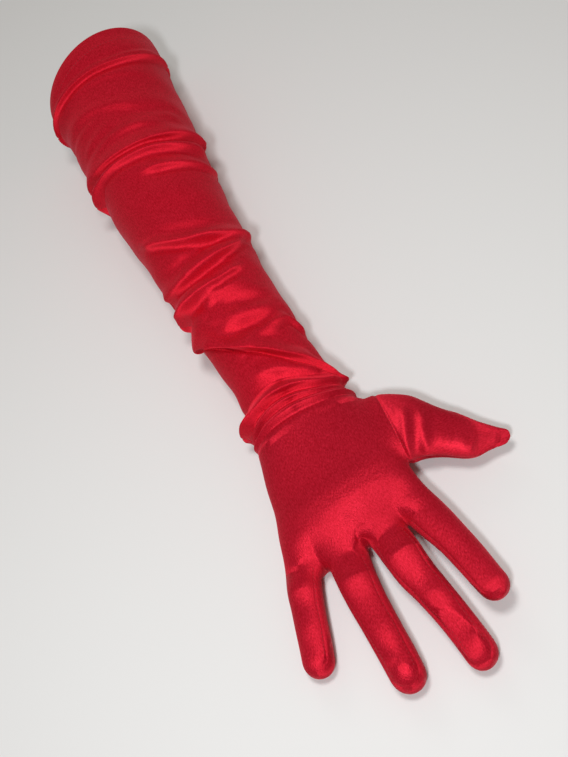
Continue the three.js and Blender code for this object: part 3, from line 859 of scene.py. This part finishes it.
def made_hand():
    """The whole hand from the wrist on, with its faces cut along every seam, and the name of each face's panel."""
    points, quads = surface_of(hand_distance, (-75, -190, -2), (106, -11, 46), CELL)
    faces = quads.tolist()
    points, faces = cut_along(points, faces, lambda p: SLEEVE_END_Y - p[:, 1], np.ones(len(faces), bool))
    middle = middles(points, faces)
    faces = [face for face, keep in zip(faces, middle[:, 1] < SLEEVE_END_Y) if keep]

    middle = middles(points, faces)
    beside_thumb = (thumb_distance(middle) < 4) & (middle[:, 1] > -66) & (middle[:, 0] > 34)
    points, faces = cut_along(points, faces, thumb_seam_offset, beside_thumb)
    middle = middles(points, faces)
    on_thumb = (thumb_seam_offset(middle) > 0) & (thumb_distance(middle) < finger_distance(middle, "index"))
    points, faces = cut_along(points, faces, lambda p: thumb_frame(p)[2] - THUMB_EDGE_HEIGHT, on_thumb)

    for name, finger in FINGERS.items():
        middle = middles(points, faces)
        nearest = nearest_finger(middle) == name
        points, faces = cut_along(points, faces, lambda p: finger_frame(p, finger)[0] - finger["cut"], nearest)
        for level in (STRIP_SINE, -STRIP_SINE, 0):
            def line(p):
                _, u, v, _, high = finger_frame(p, finger)
                return v - level * high
            middle = middles(points, faces)
            mine = (nearest_finger(middle) == name) & (finger_frame(middle, finger)[0] > finger["cut"])
            points, faces = cut_along(points, faces, line, mine)

    middle = middles(points, faces)
    owner = panel_names(middle)
    points, faces = cut_along(points, faces, lambda p: palm_frame(p)[1], np.char.startswith(owner, "hand"))
    for _ in range(2):
        points = onto_surface(hand_distance, points)
    return points, faces, panel_names(middles(points, faces))


def nearest_finger(p):
    names = np.array(list(FINGERS))
    return names[np.argmin([finger_distance(p, name) for name in FINGERS], axis=0)]


def panel_names(p):
    """The panel that each place on the hand belongs to."""
    owner = np.where(palm_frame(p)[1] > 0, "hand_back", "hand_palm").astype("<U40")
    nearest = nearest_finger(p)
    for name, finger in FINGERS.items():
        along, u, v, half, high = finger_frame(p, finger)
        mine = (nearest == name) & (along > finger["cut"])
        part = np.where(v > 0, name + "_back", name + "_palm").astype("<U40")
        for side in strips_of(name):
            part = np.where((np.abs(v) < STRIP_SINE * high) & (u * side > 0), name + strip_label(side), part)
        owner = np.where(mine, part, owner)
    thumb = thumb_distance(p)
    on_thumb = (thumb_seam_offset(p) > 0) & (thumb < 3) & (nearest_distance(p) > thumb) & (p[:, 1] > -90)
    owner = np.where(on_thumb, np.where(thumb_frame(p)[2] > THUMB_EDGE_HEIGHT, "thumb_back", "thumb_palm"), owner)
    return owner


def nearest_distance(p):
    return np.min([finger_distance(p, name) for name in FINGERS], axis=0)


hand_points, hand_faces, hand_owner = made_hand()
hand_slopes = slope_of(hand_distance, hand_points, step=0.25)
hand_normals = hand_slopes / np.maximum(np.linalg.norm(hand_slopes, axis=1, keepdims=True), 1e-9)


def hand_panel(panel, outside=red_satin):
    faces = [face for face, owner in zip(hand_faces, hand_owner) if owner == panel]
    piece = cloth(panel + "_cloth", hand_points, hand_normals, faces, outside)
    return piece


for panel in ("hand_back", "hand_palm"):
    piece = hand_panel(panel)
    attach(piece, "hand")
    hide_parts(panel)


def on_hand(path):
    path = np.array(path, float)
    for _ in range(6):
        path = onto_surface(hand_distance, path)
    return path


side_path = on_hand([(-34 - 0.14 * (-16 - y), y, 15 + 0.06 * (y + 16)) for y in np.arange(-17, -80, -2.0)])
side_stitches = stitching("hand_outer_stitches", [side_path])
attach(side_stitches, "hand")
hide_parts("hand_outer_seam")

# ---- Thumb ----
# The thumb is a separate piece of satin, set into the hand with a straight seam and closed along its lower edge. Its
# tip is empty and has folded over flat.
for panel, width, stands_for in (
    ("thumb_back", 0.042, ["thumb_back", "thumb_fold"]),
    ("thumb_palm", 0.035, ["thumb_palm"]),
):
    piece = hand_panel(panel, outside=thumb_satin)
    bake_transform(piece)
    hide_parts(*stands_for)

lower_edge = []
for along in np.arange(10, 58, 1.5):
    half, height, drop = (smooth_table(THUMB, np.array([along]), k)[0] for k in (2, 3, 1))
    across = drop - half
    lower_edge.append((
        THUMB_ROOT[0] + THUMB_AHEAD[0] * along - THUMB_AHEAD[1] * across,
        THUMB_ROOT[1] + THUMB_AHEAD[1] * along + THUMB_AHEAD[0] * across,
        height + THUMB_EDGE_HEIGHT,
    ))
thumb_stitches = stitching("thumb_seam_stitches", [on_hand(lower_edge)])
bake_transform(thumb_stitches)
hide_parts("thumb_seam")
set_in = [(SET_IN_X + SET_IN_SLANT * (y - SET_IN_Y), y, 31) for y in np.arange(-24, -58, -1.5)]
set_in_stitches = stitching("thumb_set_in_stitches", [on_hand(set_in)])
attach(set_in_stitches, "hand")

# ---- Fingers ----
# Each finger is a back and a palm panel, with a narrow strip sewn between them wherever it faces its neighbour.
for name, finger in FINGERS.items():
    foot, aim = Vector(finger["foot"]), Vector(finger["ahead"])
    ahead = (aim - foot).normalized()
    z = finger["z"][0]
    labels = ["_back", "_palm"] + [strip_label(side) for side in strips_of(name)]
    for label in labels:
        piece = hand_panel(name + label)
        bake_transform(piece)
        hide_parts(name + label, *([name + "_fold"] if label == "_back" else []))
    paths = []
    tilt = math.radians(HAND_TILT)
    for side in strips_of(name):
        for level in (1, -1):
            path = []
            for along in np.arange(finger["cut"], finger["end"] - 9, 1.5):
                widths = np.array(finger["widths"], float)
                middle, half = (smooth_table(widths, np.array([along]), k)[0] for k in (1, 2))
                u, v = side * half * 0.78, level * half * FINGER_HIGH * STRIP_SINE
                across = middle + u * math.cos(tilt) - v * math.sin(tilt)
                up = u * math.sin(tilt) + v * math.cos(tilt)
                spot = foot + ahead * along + Vector((-ahead.y, ahead.x)) * across
                path.append((spot.x, spot.y, z + up))
            paths.append(on_hand(path))
    stitches = stitching(name + "_strip_stitches", paths, thickness=0.34)
    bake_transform(stitches)


# ---- Floor and light ----
# A pale, matt table top, lit softly from all round, from a window beyond the cuff, from a lamp overhead, and by a small
# flash that stands left of the camera and below it.
def make_stage():
    material = bpy.data.materials.new("pale_table")
    material.use_nodes = True
    shader = material.node_tree.nodes["Principled BSDF"]
    shader.inputs["Base Color"].default_value = (0.74, 0.735, 0.725, 1)
    shader.inputs["Roughness"].default_value = 0.85
    mesh = bpy.data.meshes.new("table_top")
    mesh.from_pydata([(-3, -3, -0.0005), (3, -3, -0.0005), (3, 3, -0.0005), (-3, 3, -0.0005)], [], [(0, 1, 2, 3)])
    mesh.materials.append(material)
    floor = bpy.data.objects.new("table_top", mesh)
    bpy.context.scene.collection.objects.link(floor)
    world = bpy.data.worlds.new("soft_light")
    bpy.context.scene.world = world
    world.use_nodes = True
    world.node_tree.nodes["Background"].inputs["Color"].default_value = (1.0, 0.93, 0.84, 1)
    world.node_tree.nodes["Background"].inputs["Strength"].default_value = 0.25


def lamp(name, kind, stands_at, aims_at, energy, color):
    data = bpy.data.lights.new(name, kind)
    data.energy = energy
    data.color = color
    light = bpy.data.objects.new(name, data)
    bpy.context.scene.collection.objects.link(light)
    turn = (aims_at - stands_at).to_track_quat("-Z", "Y").to_matrix().to_4x4()
    light.matrix_world = Matrix.Translation(stands_at) @ turn
    return data


make_stage()
middle_of_glove = place(10, 0, 20)
beside_camera = camera.matrix_world @ Vector((-0.085, -0.08, 0))
flash_place = middle_of_glove + (beside_camera - middle_of_glove) * 1.5
flash = lamp("flash", "SPOT", flash_place, middle_of_glove, 24.5, (0.92, 0.96, 1.0))
flash.spot_size = math.radians(64)
flash.spot_blend = 1
flash.shadow_soft_size = 0.055
overhead = lamp("overhead", "AREA", place(-15, -125, 950), place(-15, -125, 0), 3.8, (1.0, 1.0, 1.0))
overhead.size = 0.2
window = lamp("window", "AREA", place(0, 1500, 1000), place(0, 160, 30), 2.0, (1.0, 1.0, 1.0))
window.size = 0.7
